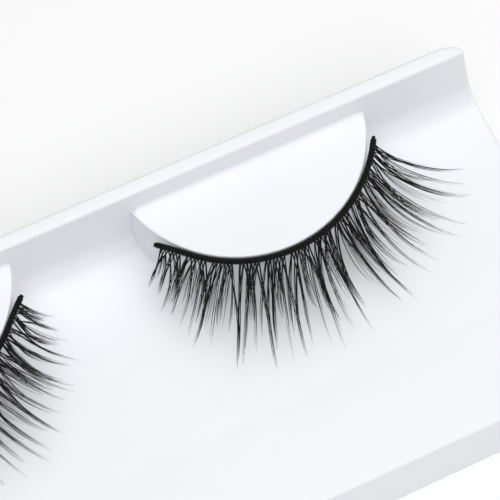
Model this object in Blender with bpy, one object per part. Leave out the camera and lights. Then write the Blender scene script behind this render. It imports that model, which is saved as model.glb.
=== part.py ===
"""Pair of false eyelash strips on a thermoformed display tray.

Metres, +Z up. +X runs along the tray's length and +Y points from its open front edge to the
ridge at its back. The origin is on the table under the middle of the tray.

The named sizes below are in millimetres, and MM turns them to metres where a mesh is made.
"""
import bpy
import bmesh
from math import acos, cos, pi, radians, sin, tan
from mathutils import Matrix, Vector

MM = 0.001

# Tray: a sheet formed over a block, with a floor, a skirt down to the table and a ridge behind
WALL = 0.5
FLOOR_LENGTH = 105.3
FLOOR_DEPTH = 39.4
SKIRT_HEIGHT = 9.3
RIDGE_HEIGHT = 11.0
RIDGE_WIDTH = 1.8
SIDE_DRAFT = radians(4.5)
FRONT_DRAFT = radians(6.0)
END_DRAFT = radians(8.5)
FRONT_CORNER = 3.0
REAR_CORNER_LENGTH = 3.4
REAR_CORNER_DEPTH = 1.35
EDGE_ROUND = 0.5
FOOT_ROUND = 3.2

# Shallow crease across the floor, parallel to the front edge
CREASE_SETBACK = 12.0
CREASE_WIDTH = 1.2
CREASE_DEPTH = 0.2
CREASE_END_GAP = 2.0

# Pads: two D-shaped blocks that grow out of the ridge and carry the strips
PAD_FROM_END = 30.0
PAD_RADIUS = 15.5
PAD_CENTRE_SETBACK = 3.3
PAD_HEIGHT = 7.5
PAD_DRAFT = radians(4.0)
PAD_TOP_ROUND = 0.2
PAD_FOOT_ROUND = 0.8
PAD_COVE = 0.6

# Strip: a cotton band bent round the pad, with the hairs tied along it
BAND_LENGTH = 35.0
BAND_THICKNESS = 0.65
BAND_HEIGHT = 0.9
BAND_BELOW_PAD_TOP = 0.05
RIGHT_TURN = radians(2.6)
LEFT_TURN = radians(-0.3)
SEAT_GAP = 0.3
INNER_END_LIFT = 0.7
INNER_LIFT_LENGTH = 4.0
OUTER_END_LIFT = 0.4
OUTER_LIFT_LENGTH = 9.0

# Fringe: locks of hair that leave a root cord under the band, droop and curl up again
ROOT_CORD = 0.5
LASH_LENGTH = 15.5
CLUSTERS = 11
LOCKS_IN_CLUSTER = 3
LOCK_WIDTH_IN_CLUSTER = 0.38
LOCK_THICKNESS = 0.45
LOCK_TIP = 0.12
ROOT_PITCH = radians(-50)
TIP_PITCH = radians(40)
CURL_POWER = 0.8
LOCK_SPREAD = radians(5)
FRINGE_END_GAP = 0.8

# Rows from the inner corner to the outer one: place along the band as a share of it,
# heading of the hairs from straight ahead in degrees, hair length as a share of LASH_LENGTH
FAN = (
    (0.00, -45, 0.26),
    (0.05, -38, 0.46),
    (0.09, -36, 0.57),
    (0.18, -35, 0.77),
    (0.27, -29, 0.89),
    (0.45, -19, 0.96),
    (0.55, -9, 0.98),
    (0.68, 8, 1.00),
    (0.82, 20, 1.00),
    (0.91, 28, 1.00),
    (1.00, 45, 0.93),
)
# Hair length of the left, middle and right lock of a cluster, as a share of the row above
LOCK_LENGTHS = (1.0, 0.82, 0.94)

CORNER_SEGMENTS = 5
FILLET_SEGMENTS = 4
FOOT_SEGMENTS = 8
PAD_SEGMENTS = 30
BAND_SEGMENTS = 28
LOCK_SEGMENTS = 6
SINK = 0.03
BURIED = 0.2
UNDER_TABLE = 3.0

FLOOR_Z = SKIRT_HEIGHT
TOP_Z = SKIRT_HEIGHT + RIDGE_HEIGHT
PAD_TOP_Z = SKIRT_HEIGHT + PAD_HEIGHT
PAD_SPACING = FLOOR_LENGTH - 2 * PAD_FROM_END
FRONT_FLARE = SKIRT_HEIGHT * tan(FRONT_DRAFT)
BACK_FLARE = TOP_Z * tan(SIDE_DRAFT)
TABLE_DEPTH = FRONT_FLARE + FLOOR_DEPTH + RIDGE_WIDTH + BACK_FLARE
RIDGE_FACE = TABLE_DEPTH / 2 - BACK_FLARE - RIDGE_WIDTH


def clear_scene():
    for item in list(bpy.data.objects):
        bpy.data.objects.remove(item, do_unlink=True)


def new_collection(name):
    group = bpy.data.collections.new(name)
    bpy.context.scene.collection.children.link(group)
    return group


def plastic(name, colour, roughness):
    material = bpy.data.materials.new(name)
    material.use_nodes = True
    shader = material.node_tree.nodes["Principled BSDF"]
    shader.inputs["Base Color"].default_value = (*colour, 1.0)
    shader.inputs["Roughness"].default_value = roughness
    shader.inputs["Metallic"].default_value = 0.0
    return material


def solid(name, mesh_data, group):
    """An object from a finished bmesh, its faces turned outwards."""
    bmesh.ops.recalc_face_normals(mesh_data, faces=mesh_data.faces)
    mesh = bpy.data.meshes.new(name)
    mesh_data.to_mesh(mesh)
    mesh_data.free()
    item = bpy.data.objects.new(name, mesh)
    group.objects.link(item)
    return item


def loft(name, rings, group):
    """A closed solid through rings of points in millimetres, all rings with the same count."""
    mesh_data = bmesh.new()
    loops = []
    for ring in rings:
        loops.append([mesh_data.verts.new(Vector(point) * MM) for point in ring])
    count = len(loops[0])
    for lower, upper in zip(loops, loops[1:]):
        for i in range(count):
            j = (i + 1) % count
            mesh_data.faces.new((lower[i], lower[j], upper[j], upper[i]))
    mesh_data.faces.new(list(reversed(loops[0])))
    mesh_data.faces.new(loops[-1])
    return solid(name, mesh_data, group)


def combine(body, tool, operation):
    """Joins the tool to the body, or cuts it away, and removes the tool."""
    modifier = body.modifiers.new(operation, "BOOLEAN")
    modifier.operation = operation
    modifier.solver = "EXACT"
    modifier.object = tool
    graph = bpy.context.evaluated_depsgraph_get()
    mesh = bpy.data.meshes.new_from_object(body.evaluated_get(graph))
    body.modifiers.clear()
    body.data = mesh
    bpy.data.objects.remove(tool, do_unlink=True)


# Tray

def half_length(z):
    return FLOOR_LENGTH / 2 + (FLOOR_Z - z) * tan(END_DRAFT)


def front_y(z):
    return RIDGE_FACE - FLOOR_DEPTH - (FLOOR_Z - z) * tan(FRONT_DRAFT)


def back_y(z):
    return RIDGE_FACE + RIDGE_WIDTH + (TOP_Z - z) * tan(SIDE_DRAFT)


def ridge_face_y(z):
    return RIDGE_FACE - (TOP_Z - z) * tan(SIDE_DRAFT)


def footprint(z, inset):
    """The tray's plan at one height, with round front corners and oval rear ones."""
    x = half_length(z) - inset / cos(END_DRAFT)
    y_front = front_y(z) + inset / cos(FRONT_DRAFT)
    y_back = back_y(z) - inset / cos(SIDE_DRAFT)
    front = FRONT_CORNER - inset
    long = REAR_CORNER_LENGTH - inset
    deep = REAR_CORNER_DEPTH - inset
    corners = (
        (x - front, y_front + front, front, front, -90),
        (x - long, y_back - deep, long, deep, 0),
        (long - x, y_back - deep, long, deep, 90),
        (front - x, y_front + front, front, front, 180),
    )
    ring = []
    for centre_x, centre_y, reach_x, reach_y, start in corners:
        for step in range(CORNER_SEGMENTS + 1):
            angle = radians(start + 90 * step / CORNER_SEGMENTS)
            ring.append((centre_x + reach_x * cos(angle), centre_y + reach_y * sin(angle), z))
    return ring


def tray_block(inset, group):
    """The full block that the sheet is formed over, offset inwards by inset."""
    bottom = -UNDER_TABLE if inset else 0.0
    return loft("block", [footprint(bottom, inset), footprint(TOP_Z - inset, inset)], group)


def air_over_floor(inset, group):
    """What is cut from the block to leave the floor and the ridge, with the ridge's foot round."""
    mesh_data = bmesh.new()
    bmesh.ops.create_cube(mesh_data, size=2.0)
    foot = []
    for vertex in mesh_data.verts:
        high = vertex.co.z > 0
        rear = vertex.co.y > 0
        z = TOP_Z + UNDER_TABLE if high else FLOOR_Z - inset
        y = ridge_face_y(z) + inset / cos(SIDE_DRAFT) if rear else front_y(0.0) - FLOOR_DEPTH
        vertex.co = Vector((vertex.co.x * FLOOR_LENGTH, y, z)) * MM
        if rear and not high:
            foot.append(vertex)
    edges = [edge for edge in mesh_data.edges if all(v in foot for v in edge.verts)]
    bmesh.ops.bevel(mesh_data, geom=edges, offset=(FOOT_ROUND + inset) * MM, affect="EDGES",
                    segments=FOOT_SEGMENTS, profile=0.5)
    return solid("air", mesh_data, group)


def round_outer_edges(body):
    """Rounds the sharp outward edges that the cut left: the ridge's, and the floor's rim."""
    mesh_data = bmesh.new()
    mesh_data.from_mesh(body.data)
    bmesh.ops.remove_doubles(mesh_data, verts=mesh_data.verts, dist=SINK * MM)
    edges = []
    for edge in mesh_data.edges:
        above_table = min(v.co.z for v in edge.verts) > EDGE_ROUND * MM
        if above_table and edge.calc_face_angle_signed() > radians(40):
            edges.append(edge)
    bmesh.ops.bevel(mesh_data, geom=edges, offset=EDGE_ROUND * MM, affect="EDGES",
                    segments=3, profile=0.5, clamp_overlap=True)
    mesh_data.to_mesh(body.data)
    mesh_data.free()


def pad_outline(side, radius, z):
    """A D in plan: an arc round the pad's centre, closed by a straight back in the ridge."""
    centre_x = side * PAD_SPACING / 2
    centre_y = RIDGE_FACE + PAD_CENTRE_SETBACK
    back = RIDGE_FACE + RIDGE_WIDTH / 2
    reach = acos((centre_y - back) / radius)
    ring = []
    for step in range(PAD_SEGMENTS + 1):
        angle = reach * (2 * step / PAD_SEGMENTS - 1)
        ring.append((centre_x + radius * sin(angle), centre_y - radius * cos(angle), z))
    return ring


def pad_side_radius(z):
    return PAD_RADIUS + (PAD_TOP_Z - z) * tan(PAD_DRAFT)


def pad_form(side, inset, group):
    """A pad offset inwards by inset, with a hollow round at its foot and a full one on top."""
    floor = FLOOR_Z - inset
    top = PAD_TOP_Z - inset
    shift = inset / cos(PAD_DRAFT)
    foot = PAD_FOOT_ROUND + inset
    rim = max(PAD_TOP_ROUND - inset, 0.0)
    wall = pad_side_radius(floor + foot) - shift
    rings = [pad_outline(side, wall + foot, floor - UNDER_TABLE)]
    for step in range(FILLET_SEGMENTS + 1):
        angle = pi / 2 * step / FILLET_SEGMENTS
        rings.append(pad_outline(side, wall + foot * (1 - sin(angle)),
                                 floor - SINK + foot * (1 - cos(angle))))
    rings.append(pad_outline(side, PAD_RADIUS - shift, top - rim))
    for step in range(1, FILLET_SEGMENTS + 1 if rim else 1):
        angle = pi / 2 * step / FILLET_SEGMENTS
        rings.append(pad_outline(side, PAD_RADIUS - shift - rim * (1 - cos(angle)),
                                 top - rim * (1 - sin(angle))))
    return loft("pad", rings, group)


def cove_form(side, inset, group):
    """The hollow round where a pad's top runs up into the ridge, fading out at its two ends."""
    top = PAD_TOP_Z - inset
    face = ridge_face_y(top) + inset / cos(SIDE_DRAFT)
    centre_y = RIDGE_FACE + PAD_CENTRE_SETBACK
    full = PAD_COVE + inset
    half_chord = (PAD_RADIUS ** 2 - (centre_y - face + full) ** 2) ** 0.5 - PAD_TOP_ROUND - inset
    stations = ((-half_chord, BURIED), (full - half_chord, full),
                (half_chord - full, full), (half_chord, BURIED))
    rings = []
    for place, radius in stations:
        x = side * PAD_SPACING / 2 + place
        centre = face + radius * tan(SIDE_DRAFT) - radius / cos(SIDE_DRAFT)
        ring = [(x, face + BURIED, top - BURIED), (x, face + BURIED, top + radius)]
        for step in range(FILLET_SEGMENTS + 1):
            angle = SIDE_DRAFT + (pi / 2 - SIDE_DRAFT) * step / FILLET_SEGMENTS
            ring.append((x, centre + radius * cos(angle) + SINK,
                         top + radius * (1 - sin(angle)) - SINK))
        ring.append((x, centre, top - BURIED))
        rings.append(ring)
    return loft("cove", rings, group)


def crease_cutter(group):
    """A flat four-sided bar sunk to its middle in the floor."""
    length = FLOOR_LENGTH - 2 * CREASE_END_GAP
    mesh_data = bmesh.new()
    bmesh.ops.create_cone(mesh_data, cap_ends=True, segments=4, radius1=1.0, radius2=1.0,
                          depth=1.0)
    for vertex in mesh_data.verts:
        across, up, along = vertex.co
        vertex.co = Vector((along * length,
                            front_y(FLOOR_Z) + CREASE_SETBACK + across * CREASE_WIDTH / 2,
                            FLOOR_Z + up * CREASE_DEPTH)) * MM
    return solid("crease", mesh_data, group)


def tray_form(inset, group):
    """The formed shape offset inwards by inset: 0 for the outside, WALL for the hollow."""
    body = tray_block(inset, group)
    combine(body, air_over_floor(inset, group), "DIFFERENCE")
    if not inset:
        round_outer_edges(body)
    for side in (-1, 1):
        combine(body, pad_form(side, inset, group), "UNION")
        combine(body, cove_form(side, inset, group), "UNION")
    return body


def make_tray(group, tools):
    tray = tray_form(0.0, group)
    combine(tray, crease_cutter(tools), "DIFFERENCE")
    combine(tray, tray_form(WALL, tools), "DIFFERENCE")
    tray.name = "tray"
    return tray


# Strips

BAND_Z = PAD_TOP_Z - BAND_BELOW_PAD_TOP - BAND_HEIGHT / 2
BAND_SEAT = pad_side_radius(BAND_Z) + SEAT_GAP + BAND_THICKNESS / 2
ROOT_Z = BAND_Z - BAND_HEIGHT / 2 - SEAT_GAP - ROOT_CORD / 2
CLUSTER_PITCH = (BAND_LENGTH - 2 * FRINGE_END_GAP) / CLUSTERS
LOCK_WIDTH = CLUSTER_PITCH * LOCK_WIDTH_IN_CLUSTER


def lift(distance, height, length):
    """How far a band's end stands off the pad, at a distance along the band from that end."""
    return height * max(0.0, 1 - distance / length) ** 2


def along_band(turn, place, z):
    """A point in the middle of a band that is turned on its pad, at a place from its inner end."""
    angle = turn + (place - BAND_LENGTH / 2) / BAND_SEAT
    radius = (BAND_SEAT + lift(place, INNER_END_LIFT, INNER_LIFT_LENGTH)
              + lift(BAND_LENGTH - place, OUTER_END_LIFT, OUTER_LIFT_LENGTH))
    centre = Vector((PAD_SPACING / 2, RIDGE_FACE + PAD_CENTRE_SETBACK, z))
    return centre + radius * Vector((sin(angle), -cos(angle), 0))


def outward(turn, place):
    """The level direction across the band at that place, away from the pad."""
    step = 0.01
    run = along_band(turn, place + step, 0) - along_band(turn, place - step, 0)
    return Vector((run.y, -run.x, 0)).normalized()


def bar_along_band(name, turn, start, end, z, width, height, chamfer, group):
    """A bar of rectangular section with chamfered corners and blunt, narrowed ends."""
    rings = []
    for step in range(BAND_SEGMENTS + 1):
        place = start + (end - start) * step / BAND_SEGMENTS
        middle = along_band(turn, place, z)
        across = outward(turn, place)
        narrow = chamfer if step in (0, BAND_SEGMENTS) else 0.0
        w = width / 2 - narrow
        h = height / 2 - narrow
        corners = ((-w, chamfer - h), (chamfer - w, -h), (w - chamfer, -h), (w, chamfer - h),
                   (w, h - chamfer), (w - chamfer, h), (chamfer - w, h), (-w, h - chamfer))
        rings.append([middle + across * a + Vector((0, 0, b)) for a, b in corners])
    return loft(name, rings, group)


def fan(share):
    """Heading and hair length at a share of the band, read between the rows of FAN."""
    for low, high in zip(FAN, FAN[1:]):
        if share <= high[0]:
            mix = (share - low[0]) / (high[0] - low[0])
            return (radians(low[1] + (high[1] - low[1]) * mix),
                    LASH_LENGTH * (low[2] + (high[2] - low[2]) * mix))
    return radians(FAN[-1][1]), LASH_LENGTH * FAN[-1][2]


def pitch_at(share):
    """How steeply a lock points up at a share of its length, turning fastest before its middle."""
    eased = share ** CURL_POWER
    return ROOT_PITCH + (TIP_PITCH - ROOT_PITCH) * eased * eased * (3 - 2 * eased)


def lock_rings(root, heading, length):
    """Flat four-sided sections down a lock, which droops from its root and curls up again."""
    step_length = length / LOCK_SEGMENTS
    side = Vector((cos(heading), sin(heading), 0))
    point = root.copy()
    rings = []
    for step in range(LOCK_SEGMENTS + 1):
        share = step / LOCK_SEGMENTS
        pitch = pitch_at(max(step - 0.5, 0) / LOCK_SEGMENTS)
        along = Vector((sin(heading) * cos(pitch), -cos(heading) * cos(pitch), sin(pitch)))
        if step:
            point = point + along * step_length
        up = along.cross(side)
        taper = (1 - share) ** 0.8
        w = (LOCK_TIP + (LOCK_WIDTH - LOCK_TIP) * taper) / 2
        t = (LOCK_TIP + (LOCK_THICKNESS - LOCK_TIP) * taper) / 2
        rings.append([point + side * w, point + up * t, point - side * w, point - up * t])
    return rings


def make_band(name, turn, group):
    return bar_along_band(name, turn, 0.0, BAND_LENGTH, BAND_Z, BAND_THICKNESS, BAND_HEIGHT,
                          BAND_THICKNESS / 4, group)


def make_fringe(name, turn, group, tools):
    """Locks in clusters along a root cord, all joined to it."""
    start = FRINGE_END_GAP
    end = BAND_LENGTH - FRINGE_END_GAP
    fringe = bar_along_band(name, turn, start, end, ROOT_Z, ROOT_CORD, ROOT_CORD,
                            ROOT_CORD / 4, group)
    for cluster in range(CLUSTERS):
        for lock in range(LOCKS_IN_CLUSTER):
            offset = (lock + 0.5) / LOCKS_IN_CLUSTER
            place = start + CLUSTER_PITCH * (cluster + 0.12 + 0.76 * offset)
            heading, length = fan(place / BAND_LENGTH)
            heading += LOCK_SPREAD * (0.5 - offset)
            rings = lock_rings(along_band(turn, place, ROOT_Z), heading,
                               length * LOCK_LENGTHS[lock])
            combine(fringe, loft("lock", rings, tools), "UNION")
    return fringe


def for_left_eye(item):
    """Mirrors a piece in the tray's middle plane."""
    item.data.transform(Matrix.Scale(-1, 4, Vector((1, 0, 0))))
    item.data.flip_normals()
    return item


def finish(item, material):
    item.data.materials.clear()
    item.data.materials.append(material)
    item.data.shade_smooth()
    item.data.set_sharp_from_angle(angle=radians(35))


clear_scene()
parts = new_collection("eyelash_pair_on_tray")
cutters = new_collection("cutters")
white_sheet = plastic("white_polystyrene_sheet", (0.86, 0.87, 0.89), 0.35)
black_cotton = plastic("black_cotton", (0.012, 0.012, 0.013), 0.75)
black_hair = plastic("black_fibre", (0.010, 0.009, 0.009), 0.45)

tray = make_tray(parts, cutters)
band_right = make_band("band_right", RIGHT_TURN, parts)
fringe_right = make_fringe("fringe_right", RIGHT_TURN, parts, cutters)
band_left = for_left_eye(make_band("band_left", LEFT_TURN, parts))
fringe_left = for_left_eye(make_fringe("fringe_left", LEFT_TURN, parts, cutters))

finish(tray, white_sheet)
for band in (band_left, band_right):
    finish(band, black_cotton)
for fringe in (fringe_left, fringe_right):
    finish(fringe, black_hair)
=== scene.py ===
import math
import random

import bpy
from mathutils import Matrix, Vector


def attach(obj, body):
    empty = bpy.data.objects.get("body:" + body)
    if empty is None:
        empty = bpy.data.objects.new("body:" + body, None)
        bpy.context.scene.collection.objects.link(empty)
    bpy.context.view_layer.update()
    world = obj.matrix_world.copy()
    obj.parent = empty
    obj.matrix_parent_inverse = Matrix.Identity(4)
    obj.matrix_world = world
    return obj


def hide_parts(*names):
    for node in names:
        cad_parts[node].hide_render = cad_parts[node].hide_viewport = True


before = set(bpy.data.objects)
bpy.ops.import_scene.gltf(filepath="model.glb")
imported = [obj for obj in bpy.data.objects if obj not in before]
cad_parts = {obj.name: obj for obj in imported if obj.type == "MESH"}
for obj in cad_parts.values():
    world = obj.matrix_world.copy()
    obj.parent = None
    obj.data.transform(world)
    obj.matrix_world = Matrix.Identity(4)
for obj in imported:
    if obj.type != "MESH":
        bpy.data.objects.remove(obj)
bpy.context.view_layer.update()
bpy.ops.object.select_all(action="DESELECT")

# Tray
# One white high-impact polystyrene sheet, drawn over a block by vacuum while it is hot, which
# leaves every corner rounded, the walls drafted and the face with a soft sheen. The plan values
# are the mould's, and the pads and the ridge come up in the same draw.
MM = 0.001
PAD_CENTRE = Vector((22.65, 21.79, 0.0))
PAD_RADIUS = 15.5


def linear(code):
    """The linear colour of an sRGB hex code."""
    shares = [int(code[i:i + 2], 16) / 255 for i in (1, 3, 5)]
    straight = [s / 12.92 if s <= 0.04045 else ((s + 0.055) / 1.055) ** 2.4 for s in shares]
    return (*straight, 1.0)


def add_node(tree, kind, links=None, **settings):
    """Adds a node, sets its properties or its sockets' values, and links its inputs."""
    node = tree.nodes.new(kind)
    for name, value in settings.items():
        if name in node.bl_rna.properties:
            setattr(node, name, value)
        else:
            node.inputs[name.replace("_", " ")].default_value = value
    for name, source in (links or {}).items():
        tree.links.new(source, node.inputs[name])
    return node


def new_material(name):
    """An empty node material with its shader, ready for its pattern."""
    material = bpy.data.materials.new(name)
    material.use_nodes = True
    return material, material.node_tree, material.node_tree.nodes["Principled BSDF"]


def colour_ramp(tree, factor, stops):
    """A ramp between colours at the places given, along a value."""
    node = add_node(tree, "ShaderNodeValToRGB", {"Fac": factor})
    while len(node.color_ramp.elements) < len(stops):
        node.color_ramp.elements.new(0.5)
    for element, (place, code) in zip(node.color_ramp.elements, stops):
        element.position = place
        element.color = linear(code)
    return node


# Vacuum-formed white polystyrene: a cool white that hardly varies, a soft sheen, and the
# faint pebbling, a third of a millimetre across, that the mould leaves in the sheet
sheet, tree, shader = new_material("vacuum_formed_white_polystyrene")
shader.inputs["IOR"].default_value = 1.59
place = add_node(tree, "ShaderNodeTexCoord").outputs["Object"]
drift = add_node(tree, "ShaderNodeTexNoise", {"Vector": place}, Scale=60.0, Detail=2.0)
tone = colour_ramp(tree, drift.outputs["Fac"], ((0.3, "#EEF0F4"), (0.7, "#F1F2F6")))
tree.links.new(tone.outputs["Color"], shader.inputs["Base Color"])
pebble = add_node(tree, "ShaderNodeTexNoise", {"Vector": place}, Scale=2600.0, Detail=2.0)
gloss = add_node(tree, "ShaderNodeMapRange", {"Value": pebble.outputs["Fac"]},
                 From_Min=0.3, From_Max=0.7, To_Min=0.46, To_Max=0.55)
tree.links.new(gloss.outputs["Result"], shader.inputs["Roughness"])
grain = add_node(tree, "ShaderNodeBump", {"Height": pebble.outputs["Fac"]},
                 Strength=0.12, Distance=0.00003)
draw = add_node(tree, "ShaderNodeTexNoise", {"Vector": place}, Scale=90.0, Detail=1.0)
wave = add_node(tree, "ShaderNodeBump", {"Height": draw.outputs["Fac"],
                                         "Normal": grain.outputs["Normal"]},
                Strength=0.3, Distance=0.00008)
tree.links.new(wave.outputs["Normal"], shader.inputs["Normal"])

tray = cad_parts["tray"].copy()
tray.data = tray.data.copy()
tray.name = "tray_sheet"
tray.parent = None
for key in list(tray.keys()):
    del tray[key]
bpy.context.scene.collection.objects.link(tray)
bpy.context.view_layer.objects.active = tray
tray.select_set(True)
bpy.ops.object.mode_set(mode="EDIT")
bpy.ops.mesh.select_all(action="SELECT")
bpy.ops.mesh.remove_doubles(threshold=0.000002)
bpy.ops.mesh.select_all(action="DESELECT")
bpy.ops.object.mode_set(mode="OBJECT")
bpy.ops.object.shade_smooth_by_angle(angle=math.radians(38))
weighted = tray.modifiers.new("even_flats", "WEIGHTED_NORMAL")
weighted.mode = "FACE_AREA_WITH_ANGLE"
weighted.keep_sharp = True
weighted.weight = 100
bpy.ops.object.modifier_apply(modifier=weighted.name)
tray.data.materials.clear()
tray.data.materials.append(sheet)
tray.select_set(False)
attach(tray, "root")
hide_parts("tray")

# Bands
# Each strip is built on a flat black cotton core that a finer thread binds round and round,
# and the hairs are knotted along its lower edge. It clings to the pad's side by its tack, and
# its two ends spring a little way off.
BAND_LENGTH = 35.0
BAND_BEND = 16.17
RIGHT_TURN = math.radians(2.6)
LEFT_TURN = math.radians(-0.3)
CORE_WIDTH = 0.60
CORE_HEIGHT = 0.74
THREAD = 0.12
THREAD_PITCH = 0.25
BINDING_TURN_POINTS = 12
CORE_STEPS = 60
CORE_SECTION_POINTS = 12
BAND_MIDDLE = 16.50
BAND_OFF_PAD = 0.43
# How far each end springs off the pad, and over what length of the band
INNER_LIFT = 0.70
INNER_LIFT_LENGTH = 4.0
OUTER_LIFT = 0.40
OUTER_LIFT_LENGTH = 9.0


def band_point(turn, share, out=0.0, up=0.0):
    """A point by the middle line of a band, at a share of it from its inner end."""
    run = share * BAND_LENGTH
    angle = turn + (run - BAND_LENGTH / 2) / BAND_BEND
    inner_lift = INNER_LIFT * max(0.0, 1 - run / INNER_LIFT_LENGTH) ** 2
    outer_lift = OUTER_LIFT * max(0.0, 1 - (BAND_LENGTH - run) / OUTER_LIFT_LENGTH) ** 2
    radius = PAD_RADIUS + BAND_OFF_PAD + inner_lift + outer_lift + out
    return PAD_CENTRE + Vector((radius * math.sin(angle), -radius * math.cos(angle),
                                BAND_MIDDLE + up))


def thread_curve(name, runs, section, sides=1):
    """A curve with one line per run of points and thicknesses, all in millimetres."""
    data = bpy.data.curves.new(name, "CURVE")
    data.dimensions = "3D"
    data.bevel_depth = section / 2 * MM
    data.bevel_resolution = sides - 1
    data.use_fill_caps = True
    for points, sizes in runs:
        line = data.splines.new("POLY")
        line.points.add(len(points) - 1)
        for spot, point, size in zip(line.points, points, sizes):
            spot.co = (*(point * MM), 1.0)
            spot.radius = size
    item = bpy.data.objects.new(name, data)
    bpy.context.scene.collection.objects.link(item)
    return item


def as_mesh(item, mirrored=False):
    """The item turned to a mesh, mirrored in the tray's middle for the other eye."""
    bpy.ops.object.select_all(action="DESELECT")
    item.select_set(True)
    bpy.context.view_layer.objects.active = item
    bpy.ops.object.convert(target="MESH")
    item = bpy.context.view_layer.objects.active
    if mirrored:
        item.data.transform(Matrix.Scale(-1, 4, Vector((1, 0, 0))))
        item.data.flip_normals()
    bpy.ops.object.shade_smooth()
    item.select_set(False)
    return item


def join(items, name):
    """One mesh object of all the items."""
    bpy.ops.object.select_all(action="DESELECT")
    for item in items:
        item.select_set(True)
    bpy.context.view_layer.objects.active = items[0]
    bpy.ops.object.join()
    whole = bpy.context.view_layer.objects.active
    whole.name = name
    whole.select_set(False)
    return whole


# Black cotton sewing thread: dull, with grey specks painted at random as glints where loose
# fibres catch the light
cotton, tree, shader = new_material("black_cotton_thread")
shader.inputs["IOR"].default_value = 1.53
shader.inputs["Roughness"].default_value = 0.82
shader.inputs["Specular IOR Level"].default_value = 0.2
shader.inputs["Sheen Weight"].default_value = 0.04
shader.inputs["Sheen Roughness"].default_value = 0.5
place = add_node(tree, "ShaderNodeTexCoord").outputs["Object"]
fuzz = add_node(tree, "ShaderNodeTexNoise", {"Vector": place}, Scale=9000.0, Detail=4.0)
# painted glints: grey specks in the base colour where loose fibres would catch the light
painted_fibre_glint = colour_ramp(tree, fuzz.outputs["Fac"], ((0.35, "#070708"), (0.62, "#101012"),
                                               (0.8, "#222225")))
tree.links.new(painted_fibre_glint.outputs["Color"], shader.inputs["Base Color"])
twist = add_node(tree, "ShaderNodeBump", {"Height": fuzz.outputs["Fac"]},
                 Strength=0.6, Distance=0.00003)
tree.links.new(twist.outputs["Normal"], shader.inputs["Normal"])


def make_band(name, turn, mirrored, seed):
    """The core and the thread bound round it."""
    chance = random.Random(seed)
    core_points = [band_point(turn, i / CORE_STEPS) for i in range(CORE_STEPS + 1)]
    core_sizes = [0.7 if i in (0, CORE_STEPS) else 1.0 for i in range(CORE_STEPS + 1)]
    core = thread_curve(name + "_core", [(core_points, core_sizes)], 1.0, 2)
    profile = bpy.data.curves.new("core_section", "CURVE")
    line = profile.splines.new("POLY")
    line.points.add(CORE_SECTION_POINTS - 1)
    for i, spot in enumerate(line.points):
        angle = i / CORE_SECTION_POINTS * 2 * math.pi
        spot.co = (CORE_WIDTH / 2 * MM * math.cos(angle),
                   CORE_HEIGHT / 2 * MM * math.sin(angle), 0.0, 1.0)
    line.use_cyclic_u = True
    section = bpy.data.objects.new("core_section", profile)
    bpy.context.scene.collection.objects.link(section)
    core.data.bevel_mode = "OBJECT"
    core.data.bevel_object = section
    core.data.twist_mode = "Z_UP"
    core = as_mesh(core, mirrored)
    bpy.data.objects.remove(section, do_unlink=True)
    bare_end = 0.15
    turns = int((BAND_LENGTH - 2 * bare_end) / THREAD_PITCH)
    points = []
    sizes = []
    for i in range(turns * BINDING_TURN_POINTS + 1):
        wound = i / BINDING_TURN_POINTS
        angle = wound * 2 * math.pi
        share = (bare_end + wound * THREAD_PITCH) / BAND_LENGTH
        slack = 1.0 + chance.uniform(-0.04, 0.04)
        out = (CORE_WIDTH / 2 + THREAD * 0.3) * slack * math.cos(angle)
        up = (CORE_HEIGHT / 2 + THREAD * 0.3) * slack * math.sin(angle)
        points.append(band_point(turn, share, out, up))
        sizes.append(1.0)
    binding = as_mesh(thread_curve(name + "_binding", [(points, sizes)], THREAD), mirrored)
    band = join([core, binding], name)
    band.data.materials.clear()
    band.data.materials.append(cotton)
    return band


for name, node, turn, mirrored, seed in (
        ("bound_band_right", "band_right", RIGHT_TURN, False, 3),
        ("bound_band_left", "band_left", LEFT_TURN, True, 8)):
    band = make_band(name, turn, mirrored, seed)
    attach(band, "root")
    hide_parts(node)

# Hairs
# Black synthetic hairs about 0.08 mm thick, ground to a point and set by heat to a curl. They are
# folded over the band's lower edge and tied there in knots half a millimetre apart, so that each
# knot has two legs. The legs of neighbouring knots cross, and gather into long and short points.
CLUSTERS = 11
KNOTS = 6
HAIR = 0.078
LASH_LENGTH = 16.3
ROOT_PITCH = -50
TIP_PITCH = 40
HAIR_STEPS = 13
CURL_POWER = 0.8
# Share of a cluster's length that its knots take up, and share of the band left bare at an end
CLUSTER_FILL = 0.84
BARE_END = 0.012

# Along the band from the inner corner, as a share: heading in degrees, length as a share
FAN = (
    (0.00, -45, 0.26),
    (0.05, -38, 0.46),
    (0.09, -36, 0.57),
    (0.18, -35, 0.77),
    (0.27, -29, 0.89),
    (0.45, -19, 0.96),
    (0.55, -9, 0.98),
    (0.68, 8, 1.00),
    (0.82, 20, 1.00),
    (0.91, 31, 1.03),
    (1.00, 52, 1.03),
)
# Lash points in turn along the band: length as a share, how far its hairs stay apart
POINTS = (
    (1.00, 0.10),
    (0.72, 0.25),
    (0.92, 0.13),
    (0.64, 0.30),
    (0.97, 0.11),
    (0.80, 0.19),
)
# Length of each hair in a knot's leg, as a share of the leg's own reach
LEG_HAIRS = (1.0, 0.90, 0.81, 0.73, 0.66, 0.58)
# How often a leg joins the point below its own knot, or the first, second or third to its side
POINTS_OFF = (0.2, 0.4, 0.3, 0.1)
# How far a point strays in degrees: its heading, its bend to the side, and its tip's pitch
HEADING_STRAY = 3.5
BEND_STRAY = 8
PITCH_STRAY = 8
# Ranges of length, as shares: of a point, of a leg in its point, and of a hair in its leg
POINT_LENGTHS = (0.93, 1.03)
LEG_REACHES = (0.84, 1.0)
HAIR_REACHES = (0.95, 1.02)
# Where along a point the hairs of a leg have drawn together
LEG_MEETS = (0.40, 0.58)
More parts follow.
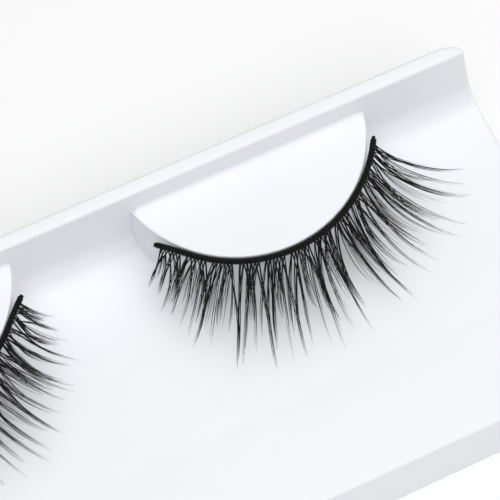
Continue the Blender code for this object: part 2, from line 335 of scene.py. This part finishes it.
# Roots in millimetres: how far in and down from the band's edge, and from the knot's middle
ROOT_IN = 0.05
ROOT_DOWN = 0.02
ROOT_INWARD = (-0.04, 0.10)
LEG_FROM_KNOT = 0.05
ROOT_ALONG = (-0.07, 0.07)
# How far hairs lie over one another in a point, and the finest part of a tip
OVER_ONE_ANOTHER = 0.12
TIP_SHARE = 0.22


def knotted(share):
    """The share of the whole band at a share of its knotted length."""
    return BARE_END + (1 - 2 * BARE_END) * share


def fan(share):
    """Heading and length of the hairs at a share of the band."""
    share = min(max(share, 0.0), 1.0)
    for low, high in zip(FAN, FAN[1:]):
        if share <= high[0]:
            mix = (share - low[0]) / (high[0] - low[0])
            return (math.radians(low[1] + (high[1] - low[1]) * mix),
                    LASH_LENGTH * (low[2] + (high[2] - low[2]) * mix))
    return math.radians(FAN[-1][1]), LASH_LENGTH * FAN[-1][2]


def point_path(root, heading, length, side_bend, tip_pitch):
    """Places down the middle of a lash point, from its root to its tip."""
    spot = root.copy()
    path = [spot.copy()]
    for step in range(2 * HAIR_STEPS):
        share = (step + 0.5) / HAIR_STEPS / 2
        curl = share ** CURL_POWER
        curl = curl * curl * (3 - 2 * curl)
        pitch = math.radians(ROOT_PITCH + (tip_pitch - ROOT_PITCH) * curl)
        turn = heading + side_bend * (share - 0.5)
        spot = spot + Vector((math.sin(turn) * math.cos(pitch), -math.cos(turn) * math.cos(pitch),
                              math.sin(pitch))) * (length / HAIR_STEPS / 2)
        path.append(spot.copy())
    return path


def along(path, share):
    """The place at a share of a path."""
    spot = share * (len(path) - 1)
    low = min(int(spot), len(path) - 2)
    return path[low].lerp(path[low + 1], spot - low)


def hair_root(band_turn, share, inward=0.0):
    """Where a hair leaves the band's lower edge."""
    return band_point(band_turn, share, CORE_WIDTH / 2 - ROOT_IN - inward,
                      -CORE_HEIGHT / 2 - ROOT_DOWN)


def lash_points(band_turn, chance):
    """The points of one strip in turn: path down the middle, spread, and side direction."""
    points = []
    count = CLUSTERS * KNOTS
    for number in range(count):
        long, apart = POINTS[number % len(POINTS)]
        place = knotted((number + 0.5 + chance.uniform(-0.25, 0.25)) / count)
        heading, length = fan(place)
        heading += math.radians(chance.uniform(-HEADING_STRAY, HEADING_STRAY))
        length *= long * chance.uniform(*POINT_LENGTHS)
        bend = math.radians(chance.uniform(-BEND_STRAY, BEND_STRAY))
        tip_pitch = TIP_PITCH + chance.uniform(-PITCH_STRAY, PITCH_STRAY)
        path = point_path(hair_root(band_turn, place), heading, length, bend, tip_pitch)
        points.append((path, apart, Vector((math.cos(heading), math.sin(heading), 0.0))))
    return points


def make_fringe(name, band_turn, mirrored, seed):
    """All the hairs of one strip."""
    chance = random.Random(seed)
    points = lash_points(band_turn, chance)
    runs = []
    for knot in range(CLUSTERS * KNOTS):
        cluster, seat = divmod(knot, KNOTS)
        across = (1 - CLUSTER_FILL) / 2 + CLUSTER_FILL * (seat + 0.5) / KNOTS
        middle = knotted((cluster + across) / CLUSTERS)
        for side in (-1, 1):
            aim = seat + side * chance.choices(range(len(POINTS_OFF)), POINTS_OFF)[0]
            aim = cluster * KNOTS + min(max(aim, -1), KNOTS)
            path, apart, sideways = points[min(max(aim, 0), len(points) - 1)]
            meet = chance.uniform(*LEG_MEETS)
            reach = chance.uniform(*LEG_REACHES)
            for long in LEG_HAIRS:
                off_knot = side * LEG_FROM_KNOT + chance.uniform(*ROOT_ALONG)
                root = hair_root(band_turn, middle + off_knot / BAND_LENGTH,
                                 chance.uniform(*ROOT_INWARD))
                shift = root - path[0]
                part = long * reach * chance.uniform(*HAIR_REACHES)
                splay = (sideways * chance.uniform(-apart, apart) * 2
                         + Vector((0.0, 0.0, chance.gauss(0, OVER_ONE_ANOTHER))))
                places = []
                sizes = []
                for step in range(HAIR_STEPS + 1):
                    share = step / HAIR_STEPS
                    reached = min(share * part, 1.0)
                    gather = max(0.0, 1 - reached / meet) ** 1.5
                    loose = 2.6 * reached * (1.15 - reached)
                    places.append(along(path, reached) + shift * gather + splay * loose)
                    sizes.append(max(TIP_SHARE, (1 - share) ** 0.5))
                runs.append((places, sizes))
    fringe = as_mesh(thread_curve(name, runs, HAIR), mirrored)
    fringe.name = name
    fringe.data.materials.clear()
    fringe.data.materials.append(fibre)
    return fringe


# Black drawn polyester fibre: nearly black, smooth enough for a thin streak of light along it
fibre, tree, shader = new_material("black_drawn_fibre")
shader.inputs["IOR"].default_value = 1.55
shader.inputs["Roughness"].default_value = 0.45
shader.inputs["Specular IOR Level"].default_value = 0.22
place = add_node(tree, "ShaderNodeTexCoord").outputs["Object"]
strand = add_node(tree, "ShaderNodeTexNoise", {"Vector": place}, Scale=1500.0, Detail=2.0)
shade = colour_ramp(tree, strand.outputs["Fac"], ((0.35, "#080708"), (0.7, "#151213")))
tree.links.new(shade.outputs["Color"], shader.inputs["Base Color"])

for name, node, turn, mirrored, seed in (
        ("hairs_right", "fringe_right", RIGHT_TURN, False, 27),
        ("hairs_left", "fringe_left", LEFT_TURN, True, 38)):
    fringe = make_fringe(name, turn, mirrored, seed)
    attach(fringe, "root")
    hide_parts(node)

# Studio
# A white sweep under the tray, a wide soft light above it, a little to the front and the right,
# and the camera high in front and to the left, so far off that edges stay nearly parallel.
bpy.ops.mesh.primitive_plane_add(size=6.0, location=(0, 0, 0))
table = bpy.context.active_object
table.name = "table"
paper, tree, shader = new_material("white_paper_sweep")
shader.inputs["Base Color"].default_value = linear("#FAFAFA")
shader.inputs["Roughness"].default_value = 0.9
table.data.materials.append(paper)
table.select_set(False)

world = bpy.data.worlds.new("soft_room")
world.use_nodes = True
world.node_tree.nodes["Background"].inputs["Color"].default_value = (1.0, 1.0, 1.0, 1.0)
world.node_tree.nodes["Background"].inputs["Strength"].default_value = 0.39
bpy.context.scene.world = world

key_data = bpy.data.lights.new("softbox", "AREA")
key_data.shape = "RECTANGLE"
key_data.size = 0.80
key_data.size_y = 0.80
key_data.energy = 3.65
key = bpy.data.objects.new("softbox", key_data)
bpy.context.scene.collection.objects.link(key)
key.location = (0.08, -0.11, 0.60)
key.rotation_euler = (Vector((0.0, 0.0, 0.0)) - key.location).to_track_quat("-Z", "Y").to_euler()

CAMERA_PLACE = (-26.79, -86.71, 259.56)
CAMERA_TURN = -25.34
CAMERA_TILT = 23.31
CAMERA_ROLL = -0.14
camera_data = bpy.data.cameras.new("camera")
camera_data.sensor_width = 36.0
camera_data.lens = 165.5
camera_data.clip_end = 10.0
camera = bpy.data.objects.new("camera", camera_data)
bpy.context.scene.collection.objects.link(camera)
camera.location = Vector(CAMERA_PLACE) * MM
turned = Matrix.Rotation(math.radians(CAMERA_TURN), 3, "Z")
tilted = turned @ Matrix.Rotation(math.radians(CAMERA_TILT), 3, "X")
camera.rotation_euler = (tilted @ Matrix.Rotation(math.radians(CAMERA_ROLL), 3, "Z")).to_euler()
bpy.context.scene.camera = camera
bpy.context.scene.view_settings.view_transform = "Standard"

bpy.context.view_layer.update()
